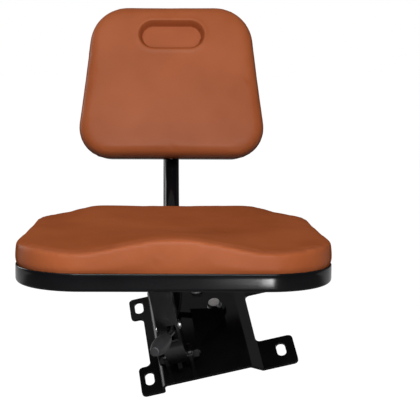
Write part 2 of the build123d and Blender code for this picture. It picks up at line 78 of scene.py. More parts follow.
def fromBack(points):
    # backrest coordinates: across, up along the pad, out of its front face
    points = np.asarray(points, float)
    across = points[..., :1] * np.array([1.0, 0.0, 0.0])
    return (across + points[..., 1:2] * backUp + points[..., 2:3] * backOut + backOrigin) * mm


def toBack(points):
    # metres in the row frame back to the pad's own millimetres
    local = points / mm - backOrigin
    return np.stack([local[:, 0], local @ backUp, local @ backOut], -1)


def fromRolled(points):
    # hinge coordinates: along the hinge, rearward, up across the hinge
    points = np.asarray(points, float)
    c, s = math.cos(bracketRoll), math.sin(bracketRoll)
    across = points[..., 0] * c - points[..., 2] * s
    up = points[..., 0] * s + points[..., 2] * c
    return np.stack([across, points[..., 1], up], -1) * mm


# Mesh helpers
def gridFaces(rows, columns, closedColumns):
    # quads between neighbouring rows and columns of a grid, as one array
    last = columns if closedColumns else columns - 1
    row, column = np.meshgrid(np.arange(rows - 1), np.arange(last), indexing="ij")
    here, above = row * columns, (row + 1) * columns
    beside = (column + 1) % columns
    return np.stack([here + column, here + beside, above + beside, above + column], -1).reshape(-1, 4)


def meshFromGrid(name, points, closedColumns=True, capEnds=True, smooth=True):
    # a surface given on a grid; the first and last rows are closed with a fan round their middle
    rows, columns = points.shape[:2]
    verts = points.reshape(-1, 3)
    faces = gridFaces(rows, columns, closedColumns).tolist()
    if capEnds and closedColumns:
        for row, flip in ((0, True), (rows - 1, False)):
            hub = len(verts)
            verts = np.vstack([verts, points[row].mean(0)])
            ring = row * columns + np.arange(columns)
            nextRing = np.roll(ring, -1)
            pair = [nextRing, ring] if flip else [ring, nextRing]
            faces += np.stack([*pair, np.full(columns, hub)], -1).tolist()
    mesh = bpy.data.meshes.new(name)
    mesh.from_pydata(verts.tolist(), [], faces)
    mesh.update()
    if smooth:
        mesh.shade_smooth()
    piece = bpy.data.objects.new(name, mesh)
    bpy.context.scene.collection.objects.link(piece)
    return piece


def outwards(piece):
    # merge doubles and turn every face outwards
    work = bmesh.new()
    work.from_mesh(piece.data)
    bmesh.ops.remove_doubles(work, verts=work.verts, dist=weldDistance)
    bmesh.ops.recalc_face_normals(work, faces=work.faces)
    work.to_mesh(piece.data)
    work.free()
    return piece


def applyModifiers(piece):
    # bake the modifier stack into the piece's own mesh
    graph = bpy.context.evaluated_depsgraph_get()
    baked = bpy.data.meshes.new_from_object(piece.evaluated_get(graph))
    piece.modifiers.clear()
    piece.data = baked


def verticesOf(mesh):
    flat = np.empty(len(mesh.vertices) * 3)
    mesh.vertices.foreach_get("co", flat)
    return flat.reshape(-1, 3)


def setVertices(piece, points):
    piece.data.vertices.foreach_set("co", np.ascontiguousarray(points, dtype=np.float32).ravel())
    piece.data.update()


def ease(value):
    # from 0 to 1 with a level start and end
    value = np.clip(value, 0.0, 1.0)
    return value * value * (3 - 2 * value)


# Node material helpers
def newMaterial(name):
    material = bpy.data.materials.new(name)
    material.use_nodes = True
    tree = material.node_tree
    shader = tree.nodes["Principled BSDF"]
    return material, tree, shader


def addNode(tree, kind, **settings):
    node = tree.nodes.new(kind)
    for key, value in settings.items():
        setattr(node, key, value)
    return node


def objectCoords(tree):
    return addNode(tree, "ShaderNodeTexCoord").outputs["Object"]


def noiseField(tree, coords, scale, detail=4.0):
    noise = addNode(tree, "ShaderNodeTexNoise")
    noise.inputs["Scale"].default_value = scale
    noise.inputs["Detail"].default_value = detail
    tree.links.new(coords, noise.inputs["Vector"])
    return noise.outputs["Fac"]


def colourRamp(tree, value, stops):
    ramp = addNode(tree, "ShaderNodeValToRGB")
    while len(ramp.color_ramp.elements) < len(stops):
        ramp.color_ramp.elements.new(0.5)
    for element, (place, colour) in zip(ramp.color_ramp.elements, stops):
        element.position = place
        element.color = (*colour, 1.0)
    tree.links.new(value, ramp.inputs["Fac"])
    return ramp.outputs["Color"]


def rangeOf(tree, value, low, high):
    mapped = addNode(tree, "ShaderNodeMapRange")
    mapped.inputs["To Min"].default_value = low
    mapped.inputs["To Max"].default_value = high
    tree.links.new(value, mapped.inputs["Value"])
    return mapped.outputs["Result"]


def softStep(tree, value, fromLow, fromHigh, toLow, toHigh):
    step = addNode(tree, "ShaderNodeMapRange", interpolation_type="SMOOTHSTEP")
    ends = {"From Min": fromLow, "From Max": fromHigh, "To Min": toLow, "To Max": toHigh}
    for socket, number in ends.items():
        step.inputs[socket].default_value = number
    tree.links.new(value, step.inputs["Value"])
    return step.outputs["Result"]


def baseColour(tree, shader, value, stops):
    tree.links.new(colourRamp(tree, value, stops), shader.inputs["Base Color"])


def bumpFrom(tree, shader, height, strength, distance):
    bump = addNode(tree, "ShaderNodeBump")
    bump.inputs["Strength"].default_value = strength
    bump.inputs["Distance"].default_value = distance
    tree.links.new(height, bump.inputs["Height"])
    tree.links.new(bump.outputs["Normal"], shader.inputs["Normal"])


def brownLeather():
    # smooth faux leather: fine pebble grain, soft colour drift, low sheen that fades at a grazing angle
    look = {
        "stops": [(0.3, (0.305, 0.076, 0.024)), (0.7, (0.385, 0.104, 0.036))],
        "drift": 9.0,
        "grain": 900.0,
        "grainBump": (0.12, 0.0004),
        "roughness": (0.36, 0.46),
        "roughScale": 60.0,
        "sheen": 0.12,
        "sheenFade": (0.45, 0.78),
    }
    material, tree, shader = newMaterial("brownLeather")
    coords = objectCoords(tree)
    baseColour(tree, shader, noiseField(tree, coords, look["drift"], 3.0), look["stops"])
    cells = addNode(tree, "ShaderNodeTexVoronoi", feature="SMOOTH_F1")
    cells.inputs["Scale"].default_value = look["grain"]
    tree.links.new(coords, cells.inputs["Vector"])
    bumpFrom(tree, shader, cells.outputs["Distance"], *look["grainBump"])
    rough = rangeOf(tree, noiseField(tree, coords, look["roughScale"]), *look["roughness"])
    tree.links.new(rough, shader.inputs["Roughness"])
    slant = addNode(tree, "ShaderNodeLayerWeight").outputs["Facing"]
    sheen = softStep(tree, slant, *look["sheenFade"], look["sheen"], 0.0)
    tree.links.new(sheen, shader.inputs["Specular IOR Level"])
    return material


def glossBlack(name, rough, peel):
    # sprayed gloss black with a faint orange peel
    look = {
        "stops": [(0.3, (0.003, 0.003, 0.0035)), (0.7, (0.005, 0.005, 0.006))],
        "drift": 14.0,
        "peelScale": 220.0,
        "peelDepth": 0.0004,
        "roughSpread": 0.06,
        "specular": 0.3,
    }
    material, tree, shader = newMaterial(name)
    coords = objectCoords(tree)
    drift = noiseField(tree, coords, look["drift"])
    baseColour(tree, shader, drift, look["stops"])
    bumpFrom(tree, shader, noiseField(tree, coords, look["peelScale"], 2.0), peel, look["peelDepth"])
    tree.links.new(rangeOf(tree, drift, rough, rough + look["roughSpread"]), shader.inputs["Roughness"])
    shader.inputs["Specular IOR Level"].default_value = look["specular"]
    return material


def texturedFinish(name, look):
    # drifting colour, a fine even bump and a roughness with its own drift
    material, tree, shader = newMaterial(name)
    coords = objectCoords(tree)
    drift = noiseField(tree, coords, look["drift"], look["driftDetail"])
    baseColour(tree, shader, drift, look["stops"])
    bumpFrom(tree, shader, noiseField(tree, coords, look["grain"], 2.0), *look["grainBump"])
    patch = noiseField(tree, coords, look["roughScale"]) if "roughScale" in look else drift
    tree.links.new(rangeOf(tree, patch, *look["roughness"]), shader.inputs["Roughness"])
    return material, shader


def satinBlackSteel():
    # powder coat: fine texture, a little rubbed grey in the colour
    look = {
        "stops": [(0.3, (0.0035, 0.0035, 0.004)), (0.75, (0.007, 0.007, 0.0075))],
        "drift": 25.0,
        "driftDetail": 5.0,
        "grain": 700.0,
        "grainBump": (0.06, 0.0002),
        "roughScale": 90.0,
        "roughness": (0.17, 0.26),
        "specular": 0.25,
    }
    material, shader = texturedFinish("satinBlackSteel", look)
    shader.inputs["Specular IOR Level"].default_value = look["specular"]
    return material


def zincPlate():
    # bright zinc with cloudy patches
    look = {
        "stops": [(0.3, (0.50, 0.51, 0.52)), (0.7, (0.72, 0.72, 0.71))],
        "cloud": 180.0,
        "roughness": (0.22, 0.40),
    }
    material, tree, shader = newMaterial("zincPlate")
    cloud = noiseField(tree, objectCoords(tree), look["cloud"])
    baseColour(tree, shader, cloud, look["stops"])
    tree.links.new(rangeOf(tree, cloud, *look["roughness"]), shader.inputs["Roughness"])
    shader.inputs["Metallic"].default_value = 1.0
    return material


def greyGrip():
    # moulded grey plastic with a fine spark texture
    look = {
        "stops": [(0.3, (0.024, 0.024, 0.026)), (0.7, (0.036, 0.036, 0.038))],
        "drift": 40.0,
        "driftDetail": 4.0,
        "grain": 1500.0,
        "grainBump": (0.2, 0.0002),
        "roughScale": 120.0,
        "roughness": (0.38, 0.5),
    }
    return texturedFinish("greyGrip", look)[0]


def mattBlackPlastic():
    # plain moulded plastic, rougher where its colour is paler
    look = {
        "stops": [(0.3, (0.012, 0.012, 0.012)), (0.7, (0.02, 0.02, 0.02))],
        "drift": 60.0,
        "driftDetail": 4.0,
        "grain": 900.0,
        "grainBump": (0.2, 0.0002),
        "roughness": (0.5, 0.62),
    }
    return texturedFinish("mattBlackPlastic", look)[0]


leather = brownLeather()
rimGloss = glossBlack("rimGlossBlack", 0.13, 0.03)
tubeGloss = glossBlack("tubeGlossBlack", 0.08, 0.02)
steelBlack = satinBlackSteel()
zinc = zincPlate()
gripGrey = greyGrip()
plasticBlack = mattBlackPlastic()
print("materials ready")


def dress(piece, material):
    piece.data.materials.clear()
    piece.data.materials.append(material)


# Outlines, each a closed loop of points walked anticlockwise
def roundedOutline(corners, radius, perCorner=20, perSide=16):
    # each corner is an arc tangent to both of its sides, with even points on the straight runs between;
    # radius is one number, or one for each corner
    corners = np.asarray(corners, float)
    radii = np.broadcast_to(radius, len(corners))
    arcs = []
    for i, (here, bend) in enumerate(zip(corners, radii)):
        before, after = corners[i - 1], corners[(i + 1) % len(corners)]
        inDir = (here - before) / np.linalg.norm(here - before)
        outDir = (after - here) / np.linalg.norm(after - here)
        turn = math.acos(np.clip(inDir @ outDir, -1, 1))
        reach = bend * math.tan(turn / 2)
        centre = here - inDir * reach + np.array([-inDir[1], inDir[0]]) * bend
        angles = np.linspace(0, turn, perCorner)[:, None]
        start = (here - inDir * reach) - centre
        side = np.array([-start[1], start[0]])
        arcs.append(centre + start * np.cos(angles) + side * np.sin(angles))
    runs = []
    for i in range(len(arcs)):
        first, second = arcs[i], arcs[(i + 1) % len(arcs)]
        share = np.linspace(0, 1, perSide + 2)[1:-1, None]
        runs += [first, first[-1] + (second[0] - first[-1]) * share]
    return np.concatenate(runs)


def insetOutline(outline, distance):
    # move every point of a closed outline inwards along its normal
    tangent = np.roll(outline, -1, 0) - np.roll(outline, 1, 0)
    tangent /= np.linalg.norm(tangent, axis=1, keepdims=True)
    return outline + np.stack([-tangent[:, 1], tangent[:, 0]], -1) * distance


seat = {
    "frontWidth": 411.0,
    "rearWidth": 374.0,
    "depth": 340.0,
    "corner": 86.0,
    "rimHeight": 23.0,
    "rimWall": 3.0,
    "rimLip": ((0.0, -8.0), (0.0, -1.2), (0.35, -0.35), (1.2, 0.0), (2.4, -0.1), (3.0, -0.8), (3.0, -12.0)),
    "panEdge": 5.0,
    "panWall": 4.0,
    "frontHeight": 29.0,
    "sideHeight": 32.5,
    "crest": 9.0,
    "crestHalfWidth": 104.0,
    "crestFall": 65.0,
    "crestFrom": 0.35,  # shares of the depth, from the front
    "crestRise": 0.6,
    "pommel": 13.5,
    "pommelHalfWidth": 74.0,
    "pommelReach": 0.55,
    "dip": 5.0,
    "dipSide": 120.0,
    "dipHalfWidth": 48.0,
    "dipReach": 0.5,
    "dish": 3.0,
    "dishHalfWidth": 120.0,
    "dishPlace": 0.55,
    "dishReach": 0.22,
    "edgeRadius": 3.5,
    "padGap": 0.5,
    "padHeights": (-16.0, -10.0, -5.0, 0.0),  # underside, then the rows held inside the rim
    "proud": 1.5,
    "swing": 8,
}
seatSkin = {
    "voxel": 4.0,
    "pressure": 4.0,
    "bending": 2.0,
    "frames": 20,
    "cap": 5.0,
    "keep": 0.3,
    "glued": 12.0,
}
clothBasics = {"quality": 4, "mass": 0.3, "stiffness": 15.0}


def seatOutline(inset=0.0):
    # wider in front than behind, with four equal corners
    front, rear, half = seat["frontWidth"] / 2, seat["rearWidth"] / 2, seat["depth"] / 2
    corners = [(-front, -half), (front, -half), (rear, half), (-rear, half)]
    return insetOutline(roundedOutline(corners, seat["corner"]), inset)


def cushionTop(x, y):
    # low sides, a raised crest along the rear, a pommel in the front middle with a dip on each side of it,
    # and a shallow dish between crest and pommel
    along = (y + seat["depth"] / 2) / seat["depth"]
    side = seat["frontHeight"] + (seat["sideHeight"] - seat["frontHeight"]) * ease(along)
    fall = 1 - ease((np.abs(x) - seat["crestHalfWidth"]) / seat["crestFall"])
    crest = seat["crest"] * fall * ease((along - seat["crestFrom"]) / seat["crestRise"])
    middle = np.exp(-(x / seat["pommelHalfWidth"]) ** 2)
    pommel = seat["pommel"] * middle * (1 - ease(along / seat["pommelReach"]))
    hollow = np.exp(-((along - seat["dishPlace"]) / seat["dishReach"]) ** 2)
    dish = seat["dish"] * np.exp(-(x / seat["dishHalfWidth"]) ** 2) * hollow
    beside = np.exp(-((np.abs(x) - seat["dipSide"]) / seat["dipHalfWidth"]) ** 2)
    dip = seat["dip"] * beside * (1 - ease(along / seat["dipReach"]))
    return side + crest + pommel - dip - dish


def seatCushionSurface():
    # rows run from the middle of the underside out, up inside the rim, up the wall, over the rounded edge
    # and in to the middle of the top
    wall = seatOutline()
    radius, proud = seat["edgeRadius"], seat["proud"]
    held = seat["rimWall"] + seat["padGap"]
    heldRing = insetOutline(wall, held)
    underside, *heldHeights = seat["padHeights"]
    rows = [np.c_[heldRing * share, np.full(len(wall), underside)] for share in np.linspace(0.05, 1.0, 14)]
    rows += [np.c_[heldRing, np.full(len(wall), height)] for height in heldHeights]
    topAtWall = cushionTop(wall[:, 0], wall[:, 1])
    for share in np.linspace(0.0, 1.0, 9)[1:]:
        out = (1 - share) ** seat["swing"]  # the wall swings out just above the rim, then leans in a little
        ring = insetOutline(wall, held * out - proud * (1 - share ** 2) * (1 - out))
        rows.append(np.c_[ring, (topAtWall - radius) * share])
    for angle in np.linspace(0, math.pi / 2, 7)[1:]:
        ring = insetOutline(wall, radius * (1 - math.cos(angle)))
        rows.append(np.c_[ring, cushionTop(ring[:, 0], ring[:, 1]) - radius * (1 - math.sin(angle))])
    last = rows[-1][:, :2]
    for share in np.linspace(1.0, 0.03, 34)[1:]:
        ring = last * share
        rows.append(np.c_[ring, cushionTop(ring[:, 0], ring[:, 1])])
    return fromSeat(np.stack(rows))


def puff(piece, skin, freeShare):
    # skin the form evenly, blow it up a little as cloth, and keep every point near its start;
    # freeShare gives how free each point is, from 0 where the skin is glued down to 1
    remesh = piece.modifiers.new("evenSkin", "REMESH")
    remesh.mode = "VOXEL"
    remesh.voxel_size = skin["voxel"] * mm
    remesh.use_smooth_shade = True
    applyModifiers(piece)
    start = verticesOf(piece.data)
    cloth = piece.modifiers.new("skinCloth", "CLOTH")
    cloth.settings.quality = clothBasics["quality"]
    cloth.settings.mass = clothBasics["mass"]
    cloth.settings.tension_stiffness = clothBasics["stiffness"]
    cloth.settings.compression_stiffness = clothBasics["stiffness"]
    cloth.settings.bending_stiffness = skin["bending"]
    cloth.settings.use_pressure = True
    cloth.settings.uniform_pressure_force = skin["pressure"]
    cloth.settings.effector_weights.gravity = 0.0
    cloth.point_cache.frame_start = 1
    cloth.point_cache.frame_end = skin["frames"]
    for step in range(1, skin["frames"] + 1):
        bpy.context.scene.frame_set(step)
    graph = bpy.context.evaluated_depsgraph_get()
    blown = bpy.data.meshes.new_from_object(piece.evaluated_get(graph))
    moved = verticesOf(blown) - start
    reach = np.linalg.norm(moved, axis=1, keepdims=True)
    moved *= np.minimum(1.0, skin["cap"] * mm / np.maximum(reach, 1e-9))
    piece.modifiers.clear()
    bpy.context.scene.frame_set(1)
    setVertices(piece, start + moved * skin["keep"] * freeShare(start)[:, None])
    print(piece.name, "cloth moved up to", round(float(reach.max()) / mm, 2), "mm before its cap")
    finer = piece.modifiers.new("finer", "SUBSURF")
    finer.levels = finer.render_levels = 1
    applyModifiers(piece)
    piece.data.shade_smooth()


def freeAboveRim(points):
    # glued inside the rim, and free from a little above it
    return ease((points[:, 2] / mm - seatDatum[2]) / seatSkin["glued"])


def makeSeatCushion():
    piece = outwards(meshFromGrid("seatCushion", seatCushionSurface()))
    puff(piece, seatSkin, freeAboveRim)
    dress(piece, leather)
    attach(piece, "seat")
    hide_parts("seat_cushion")


def makeSeatPan():
    # rounded tray: underside, rolled lower edge, outer wall, top lip, inner wall and floor, row by row
    low, edge = -seat["rimHeight"], seat["panEdge"]
    under, inner = seatOutline(edge), seatOutline(seat["rimWall"])
    rows = [np.c_[under * share, np.full(len(under), low)] for share in np.linspace(0.04, 0.97, 10)]
    for angle in np.linspace(0, math.pi / 2, 7):
        ring = seatOutline(edge * (1 - math.sin(angle)))
        rows.append(np.c_[ring, np.full(len(ring), low + edge * (1 - math.cos(angle)))])
    for inset, height in seat["rimLip"]:
        ring = seatOutline(inset)
        rows.append(np.c_[ring, np.full(len(ring), height)])
    for share in np.linspace(0.97, 0.04, 8):
        rows.append(np.c_[inner * share, np.full(len(inner), low + seat["panWall"])])
    piece = outwards(meshFromGrid("seatPan", fromSeat(np.stack(rows))))
    dress(piece, rimGloss)
    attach(piece, "seat")
    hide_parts("seat_pan")


makeSeatCushion()
makeSeatPan()
print("seat done")

back = {
    "height": 250.0,
    "lowerWidth": 297.0,
    "upperWidth": 242.0,
    "corner": 50.0,
    "padThickness": 30.0,
    "edgeRadius": 13.0,
    "rearRadius": 4.0,
    "shellInset": 4.0,
    "shellDepth": 22.0,
    "shellWall": 3.0,
    "shellEdge": 12.0,
    "shellLip": ((0.0, -1.2), (0.35, -0.35), (1.2, 0.0), (2.4, -0.1), (3.0, -0.8), (3.0, -6.0)),
    "crown": 1.5,
    "wallSwell": 0.8,
    "padCorner": (50.0, 50.0, 63.0, 63.0),
    "padProud": 3.5,
}
backMiddle = np.array([0.0, back["height"] / 2])
backSkin = {
    "voxel": 4.5,
    "pressure": 4.0,
    "bending": 2.0,
    "frames": 20,
    "cap": 5.0,
    "keep": 0.4,
    "glued": 8.0,
}
recess = {
    "width": 106.0,
    "height": 49.0,
    "belowTop": 51.5,
    "depth": 14.0,
    "wall": 6.5,
    "mouth": 1.5,  # above 1, the wall starts softly at the mouth and is crisp at the floor
    "lip": 0.6,
    "lipPlace": 2.0,
    "lipWidth": 3.0,
    "finerBeyond": 6.0,  # the mesh is finer up to here outside the mouth
    "skinDepth": 10.0,  # only points this close to the pad's front face move
    "skinFade": 4.0,
}


def backOutline(inset=0.0):
    # narrower at the top, with four equal corners
    lower, upper, tall = back["lowerWidth"] / 2, back["upperWidth"] / 2, back["height"]
    corners = [(-lower, 0.0), (lower, 0.0), (upper, tall), (-upper, tall)]
    return insetOutline(roundedOutline(corners, back["corner"]), inset)


def padOutline():
    # the shell's outline, standing proud at the sides, with rounder upper corners
    lower, upper, tall = back["lowerWidth"] / 2, back["upperWidth"] / 2, back["height"]
    proud = back["padProud"]
    corners = [(-lower - proud, 0.0), (lower + proud, 0.0), (upper + proud, tall), (-upper - proud, tall)]
    return roundedOutline(corners, back["padCorner"])


def padSurface():
    # rows run from the middle of the rear face out, round the rear edge, up the wall, over the front edge
    # and in to the middle of the front face
    wall = padOutline()
    radius, rear, deep = back["edgeRadius"], back["rearRadius"], back["padThickness"]
    rows = []
    for share in np.linspace(0.05, 1.0, 12):
        ring = backMiddle + (insetOutline(wall, rear) - backMiddle) * share
        rows.append(np.c_[ring, np.full(len(ring), -deep)])
    for angle in np.linspace(0, math.pi / 2, 5)[1:]:
        ring = insetOutline(wall, rear * (1 - math.sin(angle)))
        rows.append(np.c_[ring, np.full(len(ring), -deep + rear * (1 - math.cos(angle)))])
    for share in np.linspace(0, 1, 6)[1:]:
        ring = insetOutline(wall, -back["wallSwell"] * math.sin(math.pi * share))
        rows.append(np.c_[ring, np.full(len(ring), rear - deep + (deep - rear - radius) * share)])
    for angle in np.linspace(0, math.pi / 2, 9)[1:]:
        ring = insetOutline(wall, radius * (1 - math.cos(angle)))
        rows.append(np.c_[ring, np.full(len(ring), -radius * (1 - math.sin(angle)))])
    last = rows[-1][:, :2]
    for share in np.linspace(1.0, 0.03, 30)[1:]:
        ring = backMiddle + (last - backMiddle) * share
        rows.append(np.c_[ring, np.full(len(ring), back["crown"] * (1 - share ** 2))])
    return fromBack(np.stack(rows))


def recessGap(local):
    # distance from the recess's obround mouth, in the pad's plane: below 0 inside it
    half = (recess["width"] - recess["height"]) / 2
    alongSlot = np.maximum(np.abs(local[:, 0]) - half, 0.0)
    upSlot = local[:, 1] - (back["height"] - recess["belowTop"])
    return np.sqrt(alongSlot ** 2 + upSlot ** 2) - recess["height"] / 2


def pressRecess(piece):
    # an obround hollow: points inside its mouth sink towards its floor, and a low rounded lip stands round it
    local = toBack(verticesOf(piece.data))
    near = (recessGap(local) < recess["finerBeyond"]) & (local[:, 2] > -recess["skinDepth"])
    ends = np.empty(len(piece.data.edges) * 2, dtype=np.int32)
    piece.data.edges.foreach_get("vertices", ends)
    work = bmesh.new()
    work.from_mesh(piece.data)
    work.edges.ensure_lookup_table()
    edges = [work.edges[i] for i in np.flatnonzero(near[ends.reshape(-1, 2)].all(1))]
    bmesh.ops.subdivide_edges(work, edges=edges, cuts=2, use_grid_fill=True)
    work.to_mesh(piece.data)
    work.free()
    local = toBack(verticesOf(piece.data))
    gap = recessGap(local)
    front = ease((local[:, 2] + recess["skinDepth"]) / recess["skinFade"])
    sink = recess["depth"] * np.clip(-gap / recess["wall"], 0.0, 1.0) ** recess["mouth"]
    lip = recess["lip"] * np.exp(-((gap - recess["lipPlace"]) / recess["lipWidth"]) ** 2)
    local[:, 2] += front * (lip - sink)
    setVertices(piece, fromBack(local))
    piece.data.shade_smooth()


def freeInFront(points):
    # glued to the shell behind, and free in front of it
    return ease((toBack(points)[:, 2] + back["padThickness"]) / backSkin["glued"])


def makeBackrestCushion():
    piece = outwards(meshFromGrid("backrestCushion", padSurface()))
    puff(piece, backSkin, freeInFront)
    pressRecess(piece)
    dress(piece, leather)
    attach(piece, "bracket")
    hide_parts("backrest_cushion")


def makeBackrestShell():
    # rounded tray behind the pad: rear face, rolled rear edge, lip, inner wall and floor, row by row
    edge, inset, face = back["shellEdge"], back["shellInset"], -back["padThickness"]
    rear = face - back["shellDepth"]
    inner = backOutline(inset + edge) - backMiddle
    rows = []
    for share in np.linspace(0.04, 0.97, 10):
        rows.append(np.c_[backMiddle + inner * share, np.full(len(inner), rear)])
    for angle in np.linspace(0, math.pi / 2, 9):
        ring = backOutline(inset + edge * (1 - math.sin(angle)))
        rows.append(np.c_[ring, np.full(len(ring), rear + edge * (1 - math.cos(angle)))])
    for step, height in back["shellLip"]:
        ring = backOutline(inset + step)
        rows.append(np.c_[ring, np.full(len(ring), face + height)])
    for share in np.linspace(0.97, 0.04, 6):
        rows.append(np.c_[backMiddle + inner * share, np.full(len(inner), rear + back["shellWall"])])
    piece = outwards(meshFromGrid("backrestShell", fromBack(np.stack(rows))))
    dress(piece, rimGloss)
    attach(piece, "bracket")
    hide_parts("backrest_shell")


makeBackrestCushion()
makeBackrestShell()
print("backrest done")


edgeLook = {"weld": 2e-6, "flatTo": 1.0, "roundFrom": 30.0, "sharpFrom": 50.0, "steps": 2}  # degrees


def softEdged(node, name, width, material, body):
    # a merged copy of a solid, with its planar faces joined and its edges slightly rounded
    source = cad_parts[node]
    piece = bpy.data.objects.new(name, source.data.copy())
    bpy.context.scene.collection.objects.link(piece)
    work = bmesh.new()
    work.from_mesh(piece.data)
    bmesh.ops.remove_doubles(work, verts=work.verts, dist=edgeLook["weld"])
    flatTo = math.radians(edgeLook["flatTo"])
    bmesh.ops.dissolve_limit(work, angle_limit=flatTo, verts=work.verts, edges=work.edges)
    work.to_mesh(piece.data)
    work.free()
    if piece.data.has_custom_normals:
        piece.data.attributes.remove(piece.data.attributes["custom_normal"])
    bevel = piece.modifiers.new("brokenEdges", "BEVEL")
    bevel.width = width * mm
    bevel.segments = edgeLook["steps"]
    bevel.limit_method = "ANGLE"
    bevel.angle_limit = math.radians(edgeLook["roundFrom"])
    applyModifiers(piece)
    piece.data.shade_smooth()
    piece.data.set_sharp_from_angle(angle=math.radians(edgeLook["sharpFrom"]))
    flat = piece.modifiers.new("flatFaces", "WEIGHTED_NORMAL")  # wide faces keep their own normal
    flat.keep_sharp = True
    applyModifiers(piece)
    dress(piece, material)
    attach(piece, body)
    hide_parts(node)


steelPieces = {
    "mount_bracket": ("mountBracket", 0.7, "bracket"),
    "hinge_ears": ("hingeEars", 0.5, "bracket"),
    "latch_sector": ("latchSector", 0.4, "bracket"),
    "tube_foot": ("tubeFoot", 0.6, "bracket"),
    "arm_pivot_bolt": ("armPivotBolt", 0.5, "bracket"),
    "arm_pivot_washers": ("armPivotWashers", 0.3, "bracket"),
    "arm_pivot_nut": ("armPivotNut", 0.5, "bracket"),
    "backrest_plate": ("backrestPlate", 0.5, "bracket"),
    "seat_mount_plate": ("seatMountPlate", 0.5, "seat"),
    "seat_arm": ("seatArm", 0.7, "seat"),
    "release_lever": ("releaseLever", 0.4, "lever"),
}
for node, (name, width, body) in steelPieces.items():
    softEdged(node, name, width, steelBlack, body)
zincPieces = {
    "foot_bolts": ("footBolts", 0.5, "bracket"),
    "foot_washers": ("footWashers", 0.3, "bracket"),
    "foot_nuts": ("footNuts", 0.5, "bracket"),
    "backrest_screws": ("backrestScrews", 0.3, "bracket"),
    "seat_plate_bolts": ("seatPlateBolts", 0.4, "seat"),
    "lever_pin": ("leverPin", 0.4, "seat"),
    "lever_pin_clips": ("leverPinClips", 0.2, "seat"),
}
for node, (name, width, body) in zincPieces.items():
    softEdged(node, name, width, zinc, body)
softEdged("tube_end_cap", "tubeEndCap", 0.4, plasticBlack, "bracket")
softEdged("arm_bush", "armBush", 0.3, plasticBlack, "seat")
dress(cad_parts["lever_return_spring"], zinc)
print("metal pieces done")

tube = {
    "radius": 12.5,
    "bend": 160.0,
    "footUp": 52.0,
    "footOut": 22.0,
    "kneeUp": -10.0,
    "topUp": 128.0,
    "axisOut": -68.7,
    "segments": 48,
    "clearOfCut": 60.0,
}
weld = {"gap": 0.3, "bead": 2.4, "ripple": 0.35, "steps": 360, "stepsPerRipple": 6, "segments": 12}
lean = math.radians(32.0)


def tubePath():
    # straight from the foot, one arc at the knee, straight up the back plate, in millimetres of the row frame
    up = tube["footUp"] * math.sin(lean) + tube["footOut"] * math.cos(lean)
    rearward = tube["footUp"] * math.cos(lean) - tube["footOut"] * math.sin(lean)
    along = (seatDatum[0] + math.sin(bracketRoll) * up) / math.cos(bracketRoll)
    foot = fromRolled(np.array([along, rearward, up])) / mm
    knee = fromBack(np.array([0.0, tube["kneeUp"], tube["axisOut"]])) / mm
    top = fromBack(np.array([0.0, tube["topUp"], tube["axisOut"]])) / mm
    first = (knee - foot) / np.linalg.norm(knee - foot)
    second = (top - knee) / np.linalg.norm(top - knee)
    turn = math.acos(first @ second)
    reach = tube["bend"] * math.tan(turn / 2)
    side = second - first * (first @ second)
    side /= np.linalg.norm(side)
    angles = np.linspace(0, turn, 24)[:, None]
    centre = knee - first * reach + side * tube["bend"]
    arc = centre + tube["bend"] * (first * np.sin(angles) - side * np.cos(angles))
    lower = foot + (arc[0] - foot) * np.linspace(0, 1, 14)[:, None]
    upper = arc[-1] + (top - arc[-1]) * np.linspace(0, 1, 12)[:, None]
    return np.concatenate([lower[:-1], arc, upper[1:]]), first


def mountNormal():
    # straight out of the bracket's leaning plane, where the tube's foot sits
    return fromRolled(np.array([0.0, -math.sin(lean), math.cos(lean)])) / mm


def ringsAlong(path, radius, segments):
    # circles square to the path; the path stays in one plane, so the sideways direction is fixed
    tangent = np.gradient(path, axis=0)
    tangent /= np.linalg.norm(tangent, axis=1, keepdims=True)
    sideways = np.array([1.0, 0.0, 0.0])
    normal = np.cross(tangent, sideways)
    angles = np.linspace(0, 2 * math.pi, segments, endpoint=False)
    circle = np.cos(angles)[None, :, None] * sideways + np.sin(angles)[None, :, None] * normal[:, None, :]
    return path[:, None, :] + radius * circle


def footRing(path, first, radius, segments):
    # the tube's skin carried along its first direction to the foot's face
    ring = ringsAlong(path, radius, segments)[0]
    normal = mountNormal()
    slide = -((ring - path[0]) @ normal) / (first @ normal)
    return ring + slide[:, None] * first


def makeTube():
    # a circle carried along the bent path, its lower end cut by the foot's face and its upper end closed
    path, first = tubePath()
    rings = ringsAlong(path, tube["radius"], tube["segments"])
    cut = footRing(path, first, tube["radius"], tube["segments"])
    keep = ((path - path[0]) @ first) > tube["clearOfCut"]
    piece = outwards(meshFromGrid("backrestTube", np.concatenate([cut[None], rings[keep]]) * mm))
    dress(piece, tubeGloss)
    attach(piece, "bracket")
    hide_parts("backrest_tube")


def makeWeld():
    # a rippled bead along the cut between tube and foot: a small circle carried round that loop
    path, first = tubePath()
    loop = footRing(path, first, tube["radius"] + weld["gap"], weld["steps"])
    tangent = np.roll(loop, -1, 0) - np.roll(loop, 1, 0)
    tangent /= np.linalg.norm(tangent, axis=1, keepdims=True)
    normal = mountNormal()
    sideways = np.cross(tangent, normal)
    angles = np.linspace(0, 2 * math.pi, weld["segments"], endpoint=False)
    wave = np.sin(np.arange(weld["steps"]) * 2 * math.pi / weld["stepsPerRipple"])
    ripple = weld["bead"] + weld["ripple"] * wave
    circle = np.cos(angles)[None, :, None] * sideways[:, None, :] + np.sin(angles)[None, :, None] * normal
    rings = loop[:, None, :] + ripple[:, None, None] * circle
    piece = outwards(meshFromGrid("tubeWeld", np.concatenate([rings, rings[:1]]) * mm, capEnds=False))
    dress(piece, steelBlack)
    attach(piece, "bracket")


